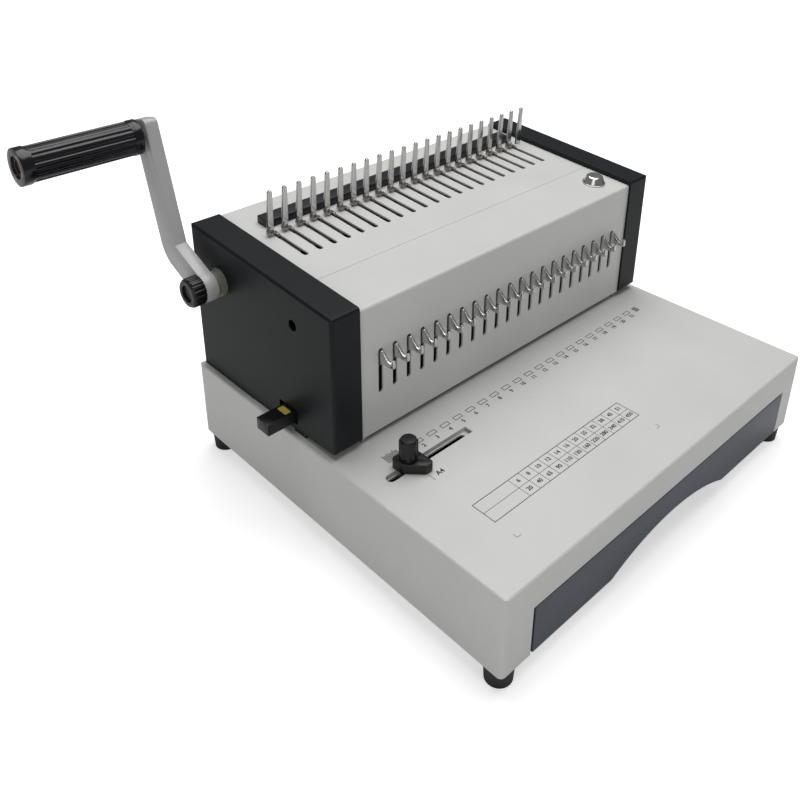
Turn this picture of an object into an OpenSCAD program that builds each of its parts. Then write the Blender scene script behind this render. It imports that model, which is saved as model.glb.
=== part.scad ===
// Hand-cranked comb binding machine: cabinet with a chip drawer, punching head, comb opener.
// The origin is the centre of the cabinet's footprint on the table. X runs along the head,
// +X to the right, -Y to the front where paper goes in, +Z up. All lengths are millimetres.

/* [Cabinet] */
// Width of the cabinet over its side walls
cabinet_width = 388; // [370:1:420]
// Depth of the cabinet from front wall to rear wall
cabinet_depth = 349; // [335:1:380]
// Height of the cabinet without its feet
cabinet_height = 70; // [66:1:90]
// Thickness of the steel sheet of the cabinet and of the covers
sheet = 1.5; // [1:0.1:2]
// Radius of the cabinet's upright corners
corner_radius = 4; // [3:0.5:12]
// Radius of the folds along the cabinet's top
fold_radius = 2; // [1.8:0.1:4]
// Thickness of the bottom pan's sheet
pan_sheet = 1.2; // [1:0.1:1.5]
// Height of the rubber feet
foot_height = 16; // [10:0.5:20]
// Radius of a foot at its top
foot_radius = 11; // [9:0.5:14]
// Distance of a foot's centre from the cabinet's side wall
foot_inset = 12; // [11.5:0.5:25]

/* [Binding pattern] */
// Distance between neighbouring binding holes, nine sixteenths of an inch
hole_pitch = 14.2875; // [14.2:0.0125:14.3]
// Number of binding holes along a sheet of paper
hole_count = 21; // [19:2:21]
// Length of a punched hole, along the head
hole_length = 8; // [6:0.5:8]
// Width of a punched hole
hole_width = 3; // [2.5:0.1:3.2]
// Distance of the row of holes behind the head's front cover
punch_setback = 12; // [11:0.5:14]

/* [Head] */
// How far the head's rear cover stands out behind the cabinet
head_overhang = 2; // [0:0.5:4]
// Height of the head's top front edge above the cabinet
head_height = 116.7; // [114:0.1:122]
// Slope of the head's top, rising to the rear, in degrees
head_slope = 3.72; // [0:0.01:5]
// Width of the covers between the two end caps
cover_width = 326.4; // [324:0.2:332]
// Depth of the head from front cover to rear cover
head_depth = 179.5; // [177:0.5:184]
// Depth of the front cover's top strip, up to the seam
seam_depth = 50.3; // [44:0.1:60]
// Height of the gap that the paper goes into
throat_gap = 4.9; // [4:0.1:5.5]
// Width of an end cap
cap_width = 26.1; // [22:0.1:32]
// Wall of an end cap
cap_wall = 3.8; // [3.6:0.1:5]
// How far an end cap stands proud of the top cover
cap_proud_top = 4.2; // [2:0.1:5]
// How far an end cap stands proud of the front cover
cap_proud_front = 2; // [1.5:0.1:2.2]
// Radius of an end cap's edges
cap_radius = 2.5; // [1.5:0.1:3.5]
// Thickness of the steel side frames
frame_sheet = 3; // [2:0.5:4]

/* [Crank] */
// Distance of the crank shaft behind the head's front cover
shaft_setback = 138; // [135:0.5:140]
// Height of the crank shaft above the cabinet
shaft_height = 94; // [93:0.5:95]
// Radius of the crank shaft
shaft_radius = 7; // [6:0.5:8]
// Module of the pinions and racks
gear_module = 2; // [1.5:0.5:2]
// Number of teeth on a pinion
pinion_teeth = 16; // [14:1:17]
// How far the crank turns, in degrees
crank_range = 105; // [80:5:105]
// Thickness of the crank arm
arm_thick = 10.5; // [9:0.5:12]
// Width of the crank arm
arm_width = 22; // [18:0.5:24]
// Length of the hand grip
grip_length = 92.5; // [80:0.5:110]
// Radius of the hand grip
grip_radius = 13.6; // [11:0.1:16]
// How far the ring at the grip's free end stands out
grip_ring = 0.7; // [0.3:0.1:2]

/* [Punch] */
// How far the punches go down for a full pull of the crank
punch_stroke = 21; // [18:0.5:22]
// Radius of the pins that the slide plates drive
drive_pin_radius = 4; // [3:0.5:5]
// How far a selector pulls out to leave its punch idle
selector_pull = 8; // [6:0.5:9]
// Thickness of a selector
selector_thick = 2.5; // [2:0.1:2.8]

/* [Comb opener] */
// Height of the fixed comb fingers above the top cover
finger_height = 38; // [30:0.5:45]
// Width of a comb finger at its root
finger_root = 6; // [4:0.1:7]
// Width of a comb finger at its tip
finger_tip = 4; // [3:0.1:4.5]
// Width of the slots that the hooks slide in
slot_width = 4.6; // [3:0.1:5]

/* [Drawer] */
// Height of the drawer's front panel
drawer_height = 42; // [38:0.5:46]
// Height of the finger arch in the drawer's front panel
arch_height = 17; // [12:0.5:20]
// Gap between the drawer's front panel and the sides of its opening
drawer_gap = 2.2; // [0.5:0.1:3]
// Depth of the chip tray behind the front panel
tray_depth = 232; // [200:1:250]

/* [Guides] */
// Rest place of the paper edge guide, to the left of the centre
guide_x = 154; // [140:1:165]
// Width of the slot that the edge guide slides in
guide_slot = 8; // [6:0.5:9]
// How far the margin lever stands out of the left end cap
lever_out = 25; // [15:0.5:30]

/* [Fits] */
// Radial clearance of a running fit
running = 0.05; // [0.02:0.01:0.1]
// Gap between parts that pass each other
gap = 0.3; // [0.2:0.05:0.4]

/* [Hidden] */
$fn = 64;
cut = 1;                                   // overshoot of a cut past its face

base_top = foot_height + cabinet_height;   // height of the cabinet's top
front_y = -cabinet_depth / 2;
head_rear = cabinet_depth / 2 + head_overhang;   // outer face of the rear cover
head_y = head_rear - head_depth;           // outer face of the front cover
head_z = base_top + head_height;           // top front edge of the covers
seam_y = head_y + seam_depth;
cover_x = cover_width / 2;
cap_x = cover_x + cap_width;               // outer face of an end cap
cap_front = head_y - cap_proud_front;
cap_rear = head_rear - 4;
cap_lift = throat_gap + 0.6;               // gap below the end caps at the front
cap_foot_y = head_y + 105;                 // where the end caps meet the cabinet
throat_top = base_top + throat_gap;
frame_x = cover_x - 5.2;                   // inner face of a side frame
frame_out = frame_x + frame_sheet;
frame_front = head_y + sheet;
frame_rear = head_rear - sheet;
first_hole = -(hole_count - 1) / 2 * hole_pitch;
function hole_x(i) = first_hole + (i - 1) * hole_pitch;

// Places in the sloping frame of the head's top: u runs back along the slope, w stands on it
function slope_u(y, z) = (y - head_y) * cos(head_slope) + (z - head_z) * sin(head_slope);
function slope_w(y, z) = -(y - head_y) * sin(head_slope) + (z - head_z) * cos(head_slope);
function roof_z(y, w) = head_z + (y - head_y) * tan(head_slope) + w / cos(head_slope);

punch_row_y = head_y + punch_setback;
shaft_y = head_y + shaft_setback;
shaft_z = base_top + shaft_height;
shaft_u = slope_u(shaft_y, shaft_z);
shaft_w = slope_w(shaft_y, shaft_z);
pitch_radius = gear_module * pinion_teeth / 2;
slide_travel = pitch_radius * crank_range * PI / 180;

// Opener carriage
plate_in = cover_x - 13.2;                 // inner face of a slide plate
plate_thick = 5;
plate_out = plate_in + plate_thick;
plate_top = -4.8;
rack_pitch_w = shaft_w + pitch_radius;
rack_root_w = rack_pitch_w + 1.25 * gear_module;
rack_rear = 171;
plate_front = 31.5;
plate_step = 102;
stud_w = -20;
stud_radius = 4;
stud_u = [40, 62];
hook_bar_u = [98, 112];
hook_bar_w = [-12, -5];
hook_plate_top = -2.2;
neck_rear = 124.5;
neck_depth = 4;

// Punch bar
bar_x = plate_in - 2;
bar_y = [head_y + 4, head_y + 30];
bar_z = [base_top + 59, base_top + 79];
bar_rear = head_y + 53;
arm_inner = bar_x - 8;
drive_y = head_y + 46;
drive_z = base_top + 69;
post_x = 6.5 * hole_pitch;
post_y = head_y + 23;
post_radius = 4;
shank_z = [base_top + 63, base_top + 73];
shank_rear = head_y + 16;
stripper_thick = 8;
stripper_top = throat_top + stripper_thick;
die_bottom = base_top - 8;
die_x = 151;                               // half the die's length in the cabinet's opening
die_flange = 5;
screw_x = [-150, 0, 150];                  // screws of the cabinet's rear wall
cover_screw_z = [base_top + 25, base_top + 85];
dial = [142, 24.5];                        // place of the dial on the head's top
punch_tip = throat_top + 1;

// Fingers on the top cover
finger_first = hole_x(1) - 2.83;
finger_u = 128.3;
finger_sheet = 2;

// Paper stop and margin lever
stop_front = punch_row_y + 3.5;
stop_x = 152;
stop_foot = 8;                             // width of the lever's foot on the stop
lever_y = [head_y + 46, head_y + 60.4];
lever_z = [base_top + 9, base_top + 19];

// Edge guide
guide_y = head_y - 42;
slot_left = -175;                          // ends of the edge guide's slot
slot_right = -90;
guide_base_z = base_top + 0.1;
guide_knob_z = base_top + 8.6;

// Drawer
drawer_left = -cabinet_width / 2 + 31;
drawer_right = cabinet_width / 2 - 24;
drawer_sheet = 2.5;
tray_front = front_y + drawer_sheet;
tray_left = drawer_left + 3;
tray_right = drawer_right - 4;
tray_wall = 1.8;
tray_low = foot_height + 2.2;
tray_high = base_top - 31;
tray_step_z = foot_height + arch_height + 2;
tray_step_y = front_y + 46;

painted = [0.87, 0.87, 0.88];
dark = [0.16, 0.18, 0.21];
slate = [0.27, 0.30, 0.34];
steel = [0.72, 0.73, 0.74];
cast = [0.60, 0.61, 0.61];
black = [0.06, 0.06, 0.07];
ivory = [0.85, 0.80, 0.66];

function selector_name(i) = str("punch_selector_", i < 10 ? "0" : "", i);

// ---- Shapes that several parts use ----

// Tangent length and centre of the arc that rounds corner p between neighbours a and b
function unit(v) = v / norm(v);
function corner_half(a, p, b) = acos(max(-1, min(1, unit(a - p) * unit(b - p)))) / 2;
function corner_centre(a, p, b, r) =
    p + unit(unit(a - p) + unit(b - p)) * r / sin(corner_half(a, p, b));

// Outline of a convex polygon whose corners are true arcs of the given radii
module rounded_outline(points, radii) {
    n = len(points);
    polygon([for (i = [0 : n - 1])
        let (a = points[(i + n - 1) % n], p = points[i], b = points[(i + 1) % n],
             t = radii[i] / tan(corner_half(a, p, b)))
        each (radii[i] > 0 ? [p + unit(a - p) * t, p + unit(b - p) * t] : [p])]);
    for (i = [0 : n - 1])
        if (radii[i] > 0)
            translate(corner_centre(points[(i + n - 1) % n], points[i],
                                    points[(i + 1) % n], radii[i]))
                circle(radii[i]);
}

// Rounded rectangle from its low corner to its high corner
module rounded_rect(low, high, r) {
    rounded_outline([low, [high[0], low[1]], high, [low[0], high[1]]], [r, r, r, r]);
}

// Box from its low corner to its high corner
module box(low, high) {
    translate(low) cube(high - low);
}

// Slot outline from centre p to centre q
module slot_2d(p, q, width) {
    d = unit(q - p);
    side = [-d[1], d[0]] * width / 2;
    polygon([p - side, q - side, q + side, p + side]);
    translate(p) circle(width / 2);
    translate(q) circle(width / 2);
}

// Extrude an outline in (y, z) along X from x0 to x1
module along_x(x0, x1) {
    translate([x0, 0, 0]) rotate([90, 0, 90]) linear_extrude(x1 - x0) children();
}

// Round bar along X
module round_x(x0, x1, y, z, r) {
    translate([x0, y, z]) rotate([0, 90, 0]) cylinder(h = x1 - x0, r = r);
}

// Sloping frame of the head's top, where y is u and z is w
module on_slope() {
    translate([0, head_y, head_z]) rotate([head_slope, 0, 0]) children();
}

// Left and right copies
module both_sides() {
    children();
    mirror([1, 0, 0]) children();
}

// Open-bottomed block with true arcs along its upright and top edges
module cabinet_block(width, depth, height, upright, top) {
    intersection() {
        linear_extrude(height)
            rounded_rect([-width / 2, -depth / 2], [width / 2, depth / 2], upright);
        along_x(-width / 2, width / 2)
            rounded_outline([[-depth / 2, 0], [depth / 2, 0], [depth / 2, height],
                             [-depth / 2, height]], [0, 0, top, top]);
        translate([0, depth / 2, 0]) rotate([90, 0, 0]) linear_extrude(depth)
            rounded_outline([[-width / 2, 0], [width / 2, 0], [width / 2, height],
                             [-width / 2, height]], [0, 0, top, top]);
    }
}

// ---- Cabinet ----

module base_cabinet() {
    color(painted) difference() {
        translate([0, 0, foot_height])
            cabinet_block(cabinet_width, cabinet_depth, cabinet_height,
                          corner_radius, fold_radius);
        translate([0, 0, foot_height - cut])
            cabinet_block(cabinet_width - 2 * sheet, cabinet_depth - 2 * sheet,
                          cabinet_height - sheet + cut, corner_radius - sheet,
                          fold_radius - sheet);
        // drawer opening
        box([drawer_left - drawer_gap, front_y - cut, foot_height - cut],
            [drawer_right + drawer_gap, front_y + sheet + cut,
             foot_height + drawer_height + drawer_gap / 2]);
        // slot of the edge guide, round at its left end
        translate([0, 0, base_top - sheet - cut]) linear_extrude(sheet + 2 * cut) {
            translate([slot_left + guide_slot / 2, guide_y]) circle(guide_slot / 2);
            translate([slot_left + guide_slot / 2, guide_y - guide_slot / 2])
                square([slot_right - slot_left - guide_slot / 2, guide_slot]);
        }
        // opening for the die
        box([-die_x - gap, punch_row_y - 8 - gap, base_top - sheet - cut],
            [die_x + gap, punch_row_y + 8 + gap, base_top + cut]);
        // rear screw holes
        for (x = screw_x)
            translate([x, cabinet_depth / 2 + cut, foot_height + 8]) rotate([90, 0, 0])
                cylinder(h = sheet + 2 * cut, r = 2.2);
    }
}

module base_pan() {
    inner_x = cabinet_width / 2 - sheet;
    inner_y = cabinet_depth / 2 - sheet;
    color(painted) difference() {
        union() {
            translate([0, 0, foot_height]) linear_extrude(pan_sheet)
                rounded_rect([-inner_x, -inner_y], [inner_x, inner_y], corner_radius - sheet);
            // upturned flanges against the cabinet walls
            both_sides()
                box([inner_x - pan_sheet, -inner_y + 12, foot_height],
                    [inner_x, inner_y - 12, foot_height + 14]);
            box([-inner_x + 12, inner_y - pan_sheet, foot_height],
                [inner_x - 12, inner_y, foot_height + 14]);
            // runners and side guides of the drawer
            for (x = [-100, 100])
                box([x - 4, -inner_y + 13, foot_height + pan_sheet],
                    [x + 4, inner_y - 20, tray_low]);
            box([tray_left - gap - pan_sheet, -inner_y + 13, foot_height],
                [tray_left - gap, inner_y - 20, foot_height + 16]);
            box([tray_right + gap, -inner_y + 13, foot_height],
                [tray_right + gap + pan_sheet, inner_y - 20, foot_height + 16]);
        }
        // finger room behind the drawer's arch, and room for the drawer's front
        box([-76, -inner_y - cut, foot_height - cut], [86, tray_step_y - 2, tray_low + cut]);
        box([drawer_left - drawer_gap, -inner_y - cut, foot_height - cut],
            [drawer_right + drawer_gap, front_y + drawer_sheet + gap, tray_low + cut]);
        for (x = [-1, 1], y = [-1, 1])
            translate([x * (cabinet_width / 2 - foot_inset),
                       y * (cabinet_depth / 2 - foot_inset), foot_height - cut])
                cylinder(h = pan_sheet + 2 * cut, r = 4.2);
        for (x = screw_x)
            translate([x, inner_y + cut, foot_height + 8]) rotate([90, 0, 0])
                cylinder(h = pan_sheet + 2 * cut, r = 2);
    }
}

module rubber_feet() {
    color(black)
        for (x = [-1, 1], y = [-1, 1])
            translate([x * (cabinet_width / 2 - foot_inset),
                       y * (cabinet_depth / 2 - foot_inset), 0])
                difference() {
                    union() {
                        cylinder(h = foot_height, r1 = foot_radius - 1, r2 = foot_radius);
                        // stem pushed through the pan, held by its head
                        translate([0, 0, foot_height - cut])
                            cylinder(h = pan_sheet + 2 * cut, r = 3.9);
                        translate([0, 0, foot_height + pan_sheet])
                            cylinder(h = 2.5, r1 = 6, r2 = 4.5);
                    }
                    translate([0, 0, -cut]) cylinder(h = 4 + cut, r = 4);
                }
}

// Pan-head screw whose head seats at z = 0, shank pointing down
module screw(length) {
    difference() {
        union() {
            cylinder(h = 1, r = 3.8);
            translate([0, 0, 1]) cylinder(h = 1.4, r1 = 3.8, r2 = 2.6);
            translate([0, 0, -length]) cylinder(h = length + 0.5, r = 2);
        }
        // cross recess
        for (turn = [0, 90]) rotate([0, 0, turn])
            translate([-1.8, -0.4, 1.2]) cube([3.6, 0.8, 2]);
    }
}

module case_screws() {
    color(steel) {
        for (x = screw_x)
            translate([x, cabinet_depth / 2, foot_height + 8]) rotate([-90, 0, 0]) screw(8);
        both_sides() for (z = cover_screw_z)
            translate([frame_x - 5, head_rear, z]) rotate([-90, 0, 0]) screw(8);
    }
}

// ---- Covers and end caps ----

module rear_top_cover() {
    color(painted) difference() {
        along_x(-cover_x, cover_x) difference() {
            rounded_outline([[seam_y + gap, base_top], [head_rear, base_top],
                             [head_rear, roof_z(head_rear, 0)],
                             [seam_y + gap, roof_z(seam_y + gap, 0)]], [0, 0, 2, 0]);
            rounded_outline([[seam_y - cut, base_top - cut], [head_rear - sheet, base_top - cut],
                             [head_rear - sheet, roof_z(head_rear - sheet, -sheet)],
                             [seam_y - cut, roof_z(seam_y - cut, -sheet)]], [0, 0, 0.5, 0]);
        }
        on_slope() translate([0, 0, -sheet - cut]) linear_extrude(sheet + 2 * cut) {
            // slots of the opener hooks
            for (i = [1 : hole_count])
                slot_2d([hole_x(i), 84 + slot_width / 2], [hole_x(i), 125.3 - slot_width / 2],
                        slot_width);
            // holes of the comb fingers
            for (i = [0 : hole_count])
                translate([finger_first + i * hole_pitch - finger_root / 2 - gap,
                           finger_u - finger_sheet / 2 - gap])
                    square([finger_root + 2 * gap, finger_sheet + 2 * gap]);
        }
        both_sides() for (z = cover_screw_z)
            translate([frame_x - 5, head_rear + cut, z]) rotate([90, 0, 0])
                cylinder(h = sheet + 2 * cut, r = 2.2);
    }
}

module front_cover() {
    color(painted) difference() {
        along_x(-cover_x, cover_x) difference() {
            rounded_outline([[head_y, throat_top], [seam_y, throat_top],
                             [seam_y, roof_z(seam_y, 0)], [head_y, head_z]], [0, 0, 0, 2.5]);
            rounded_outline([[head_y + sheet, throat_top - cut], [seam_y + cut, throat_top - cut],
                             [seam_y + cut, roof_z(seam_y + cut, -sheet)],
                             [head_y + sheet, roof_z(head_y + sheet, -sheet)]], [0, 0, 0, 1]);
        }
        // slots of the punch selectors
        translate([0, head_y + sheet + cut, 0]) rotate([90, 0, 0])
            linear_extrude(sheet + 2 * cut)
                for (i = [1 : hole_count])
                    slot_2d([hole_x(i), base_top + 38.6 + slot_width / 2],
                            [hole_x(i), base_top + 77.4 - slot_width / 2], slot_width);
        // hole of the dial's stem
        on_slope() translate([dial[0], dial[1], -sheet - cut])
            cylinder(h = sheet + 2 * cut, r = 3 + running);
    }
}

module cap_side() {
    rounded_outline([[cap_front, base_top + cap_lift], [cap_foot_y, base_top],
                     [cap_rear, base_top], [cap_rear, roof_z(cap_rear, cap_proud_top)],
                     [cap_front, roof_z(cap_front, cap_proud_top)]],
                    [cap_radius, 0, 0, cap_radius, cap_radius]);
}

// Right-hand end cap: a moulded shell, open to the inside and to the cabinet at its rear
module end_cap() {
    difference() {
        intersection() {
            along_x(cover_x, cap_x) cap_side();
            // rounding of the outer face's upright edges
            translate([0, 0, base_top]) linear_extrude(2 * head_height)
                rounded_outline([[cover_x - cut, cap_front], [cap_x, cap_front],
                                 [cap_x, cap_rear], [cover_x - cut, cap_rear]],
                                [0, cap_radius, cap_radius, 0]);
            // rounding of its top edge
            on_slope() translate([0, 2 * head_depth, 0]) rotate([90, 0, 0])
                linear_extrude(3 * head_depth)
                    rounded_outline([[cover_x - cut, -2 * head_height],
                                     [cap_x, -2 * head_height], [cap_x, cap_proud_top],
                                     [cover_x - cut, cap_proud_top]], [0, 0, cap_radius, 0]);
        }
        along_x(cover_x - cut, cap_x - 2.5)
            polygon([[cap_front + cap_wall, base_top + cap_lift + cap_wall],
                     [cap_foot_y, base_top + cap_wall], [cap_foot_y + 2, base_top + cap_wall],
                     [cap_foot_y + 2, base_top - cut], [cap_rear - cap_wall, base_top - cut],
                     [cap_rear - cap_wall, roof_z(cap_rear, cap_proud_top) - cap_wall],
                     [cap_front + cap_wall, roof_z(cap_front, cap_proud_top) - cap_wall]]);
    }
}

module right_end_cap() {
    color(dark) end_cap();
}

module left_end_cap() {
    color(dark) difference() {
        union() {
            mirror([1, 0, 0]) end_cap();
            // tab that rests on the cabinet in front of the lever
            box([-cap_x + gap, lever_y[0] - 12, base_top + gap],
                [-cap_x + 2.5, lever_y[0] + 2, base_top + cap_lift + 2]);
        }
        // seat of the shaft's collar
        round_x(-cap_x - cut, -cap_x + 2.5 + cut, shaft_y, shaft_z, 9);
        // window of the margin lever
        along_x(-cap_x - cut, -cap_x + 2.5 + cut)
            rounded_rect([lever_y[0] - 2.8, lever_z[0] - 1.4],
                         [lever_y[1] + 5.3, lever_z[1] + 1.6], 1.5);
        // oil hole in front of the shaft
        round_x(-cap_x - cut, -cap_x + 2.5 + cut, head_y + 42.9, base_top + 96.9, 4.5);
    }
}

// ---- Frames, die and fixed pieces of the head ----

module side_frame() {
    difference() {
        union() {
            along_x(frame_x, frame_out)
                rounded_outline([[frame_front, base_top], [frame_rear, base_top],
                                 [frame_rear, roof_z(frame_rear, -sheet) - 0.1],
                                 [frame_front, roof_z(frame_front, -sheet) - 0.1]],
                                [0, 0, 2, 3]);
            // flange that stands on the cabinet
            box([frame_x, cap_foot_y + 5, base_top], [frame_out + 11, shaft_y + 30, base_top + 2]);
            // tabs for the rear cover's screws
            for (z = cover_screw_z)
                box([frame_x - 10, frame_rear - 3, z - 6], [frame_x + 1, frame_rear, z + 6]);
        }
        round_x(frame_x - cut, frame_out + cut, shaft_y, shaft_z, 10);
        // upright slot of the drive pin
        along_x(frame_x - cut, frame_out + cut)
            slot_2d([drive_y, drive_z], [drive_y, drive_z - punch_stroke - 0.2],
                    2 * (drive_pin_radius + gap));
        // room for the margin lever
        along_x(frame_x - cut, frame_out + cut)
            rounded_rect([lever_y[0] - 6, lever_z[0] - 4], [lever_y[1] + 8.6, lever_z[1] + 4], 4);
        // lightening hole
        along_x(frame_x - cut, frame_out + cut)
            rounded_rect([shaft_y - 51, base_top + 16], [shaft_y + 15, base_top + 62], 8);
        for (z = cover_screw_z)
            translate([frame_x - 5, frame_rear + cut, z]) rotate([90, 0, 0])
                cylinder(h = 3 + 2 * cut, r = 2);
    }
    // riveted studs that the slide plate runs on
    for (u = stud_u) on_slope() round_x(plate_in - 2, frame_x + 0.5, u, stud_w, stud_radius);
}

module side_frames() {
    color(steel) both_sides() side_frame();
}

module shaft_bushings() {
    color(ivory) both_sides() difference() {
        union() {
            round_x(frame_x, frame_out, shaft_y, shaft_z, 10);
            round_x(frame_out, frame_out + 2, shaft_y, shaft_z, 13);
        }
        round_x(frame_x - cut, frame_out + 2 + cut, shaft_y, shaft_z, shaft_radius + running);
    }
}

module shaft_collar() {
    color(ivory) difference() {
        union() {
            round_x(-cap_x, -cap_x + 5, shaft_y, shaft_z, 9);
            round_x(-cap_x - 3.5, -cap_x, shaft_y, shaft_z, 11.5);
            round_x(-cap_x - 7.5, -cap_x - 3.5, shaft_y, shaft_z, 10.5);
        }
        round_x(-cap_x - 7.5 - cut, -cap_x + 5 + cut, shaft_y, shaft_z,
                shaft_radius + running);
    }
}

// Holes of the binding pattern through a plate between two heights
module punch_holes(z0, z1, clearance) {
    for (i = [1 : hole_count])
        box([hole_x(i) - hole_length / 2 - clearance, punch_row_y - hole_width / 2 - clearance, z0],
            [hole_x(i) + hole_length / 2 + clearance, punch_row_y + hole_width / 2 + clearance, z1]);
}

module die_plate() {
    color(steel) difference() {
        union() {
            box([-die_x - die_flange, punch_row_y - 12, die_bottom],
                [die_x + die_flange, punch_row_y + 17, base_top - sheet]);
            box([-die_x, punch_row_y - 8, die_bottom], [die_x, punch_row_y + 8, base_top]);
        }
        punch_holes(die_bottom - cut, base_top + cut, 0.1);
    }
}

module stripper_plate() {
    color(steel) difference() {
        box([-frame_x, frame_front + gap, throat_top], [frame_x, post_y + 8, stripper_top]);
        punch_holes(throat_top - cut, stripper_top + cut, 0.1);
        for (x = [-post_x, post_x])
            translate([x, post_y, throat_top - cut])
                cylinder(h = stripper_thick + 2 * cut, r = post_radius);
    }
}

module guide_posts() {
    color(steel) for (x = [-post_x, post_x])
        translate([x, post_y, throat_top + 0.5])
            cylinder(h = base_top + 89 - throat_top - 0.5, r = post_radius);
}

// Section of a spring's wire in the plane across its axis, spread along the coil by its pitch
module wire_section(mean, wire, pitch) {
    spread = 360 * wire / pitch / 2;
    steps = 4;
    polygon(concat(
        [for (k = [0 : steps]) let (t = -1 + 2 * k / steps, a = t * spread)
            (mean + wire / 2 * sqrt(1 - t * t) + 0.05) * [cos(a), sin(a)]],
        [for (k = [0 : steps]) let (t = 1 - 2 * k / steps, a = t * spread)
            (mean - wire / 2 * sqrt(1 - t * t) - 0.05) * [cos(a), sin(a)]]));
}

module return_springs() {
    length = bar_z[0] - stripper_top;
    coils = 9;
    color(steel) for (x = [-post_x, post_x])
        translate([x, post_y, stripper_top])
            linear_extrude(length, twist = -360 * coils, slices = coils * 10, $fn = 12)
                wire_section(6, 1.7, length / coils);
}

// ---- Comb fingers and rest ----

module comb_fence() {
    color(steel) on_slope() {
        for (i = [0 : hole_count])
            translate([finger_first + i * hole_pitch, finger_u + finger_sheet / 2, 0])
                rotate([90, 0, 0]) linear_extrude(finger_sheet)
                    rounded_outline([[-finger_root / 2, -sheet - finger_sheet],
                                     [finger_root / 2, -sheet - finger_sheet],
                                     [finger_tip / 2, finger_height],
                                     [-finger_tip / 2, finger_height]],
                                    [0, 0, finger_tip * 0.46, finger_tip * 0.46]);
        box([finger_first - 4, finger_u - finger_sheet / 2, -sheet - finger_sheet],
            [finger_first + hole_count * hole_pitch + 3.2, 150, -sheet]);
    }
}

module comb_rest_bar() {
    rest_end = 151;
    color(black) on_slope() difference() {
        along_x(-143.2, rest_end)
            rounded_outline([[136, 0], [149.8, 0], [149.8, 7], [136, 7]], [0, 0, 1.2, 1.2]);
        // bevelled right end
        translate([rest_end, 135, 3]) rotate([0, -35, 0]) cube([12, 16, 12]);
    }
}

module guide_rail() {
    color(painted) difference() {
        box([slot_left - 11, guide_y - 13, base_top - 5.5],
            [slot_right + 10, guide_y + 13, base_top - sheet]);
        box([slot_left - 11 - cut, guide_y - guide_slot / 2, base_top - 4],
            [slot_right + 10 + cut, guide_y + guide_slot / 2, base_top]);
        translate([0, 0, base_top - 5.5 - cut]) linear_extrude(4)
            slot_2d([slot_left + 4, guide_y], [slot_right - 7.5, guide_y], 6);
    }
}

// ---- Crank ----

arm_reach = [64, 109];                     // from the shaft to the grip's spindle, along Y and Z
arm_bend = [40.9, 17.9];                   // from the shaft to the arm's bend
arm_bend_radius = 24;                      // rounding of the bend's outer side
arm_hub_radius = 12;
seat_half = 4.6;                           // half the square seat of the arm
spindle_y = shaft_y + arm_reach[0];
spindle_z = shaft_z + arm_reach[1];
arm_in = -cap_x - 7.5 - gap;               // face of the arm towards the head
arm_out = arm_in - arm_thick;
grip_in = arm_out - 4.2;

module main_shaft() {
    color(steel) {
        round_x(arm_in, frame_out + 4, shaft_y, shaft_z, shaft_radius);
        // thrust rings beside the frames
        both_sides() round_x(frame_x - 2.3, frame_x - 0.2, shaft_y, shaft_z, 9.5);
        // square seat of the arm and stud of the lock knob
        box([arm_out, shaft_y - seat_half, shaft_z - seat_half],
            [arm_in + cut, shaft_y + seat_half, shaft_z + seat_half]);
        round_x(arm_out - 7.6, arm_out + cut, shaft_y, shaft_z, 4);
    }
}

pressure = 20;
base_radius = pitch_radius * cos(pressure);
function involute(a) = tan(a) * 180 / PI - a;
function tooth_half(r) =
    (90 / pinion_teeth - 0.18) + involute(pressure) - involute(acos(min(1, base_radius / r)));
tip_radius = pitch_radius + gear_module;
root_radius = pitch_radius - 1.25 * gear_module;
flank = [root_radius, base_radius, base_radius + 0.5, pitch_radius, pitch_radius + 1, tip_radius];

module pinion_outline() {
    polygon([for (k = [0 : pinion_teeth - 1]) let (c = 90 - k * 360 / pinion_teeth)
        each concat(
            [for (r = flank) r * [cos(c + tooth_half(max(r, base_radius))),
                                  sin(c + tooth_half(max(r, base_radius)))]],
            [for (j = [len(flank) - 1 : -1 : 0]) let (r = flank[j])
                r * [cos(c - tooth_half(max(r, base_radius))),
                     sin(c - tooth_half(max(r, base_radius)))]])]);
}

module drive_pinions() {
    color(steel) both_sides() on_slope() difference() {
        union() {
            along_x(plate_in - 0.5, plate_out + 0.5)
                translate([shaft_u, shaft_w]) pinion_outline();
            round_x(plate_in - 8, plate_in - 0.5, shaft_u, shaft_w, 11);
        }
        round_x(plate_in - 8 - cut, plate_out + 0.5 + cut, shaft_u, shaft_w, shaft_radius);
    }
}

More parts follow.
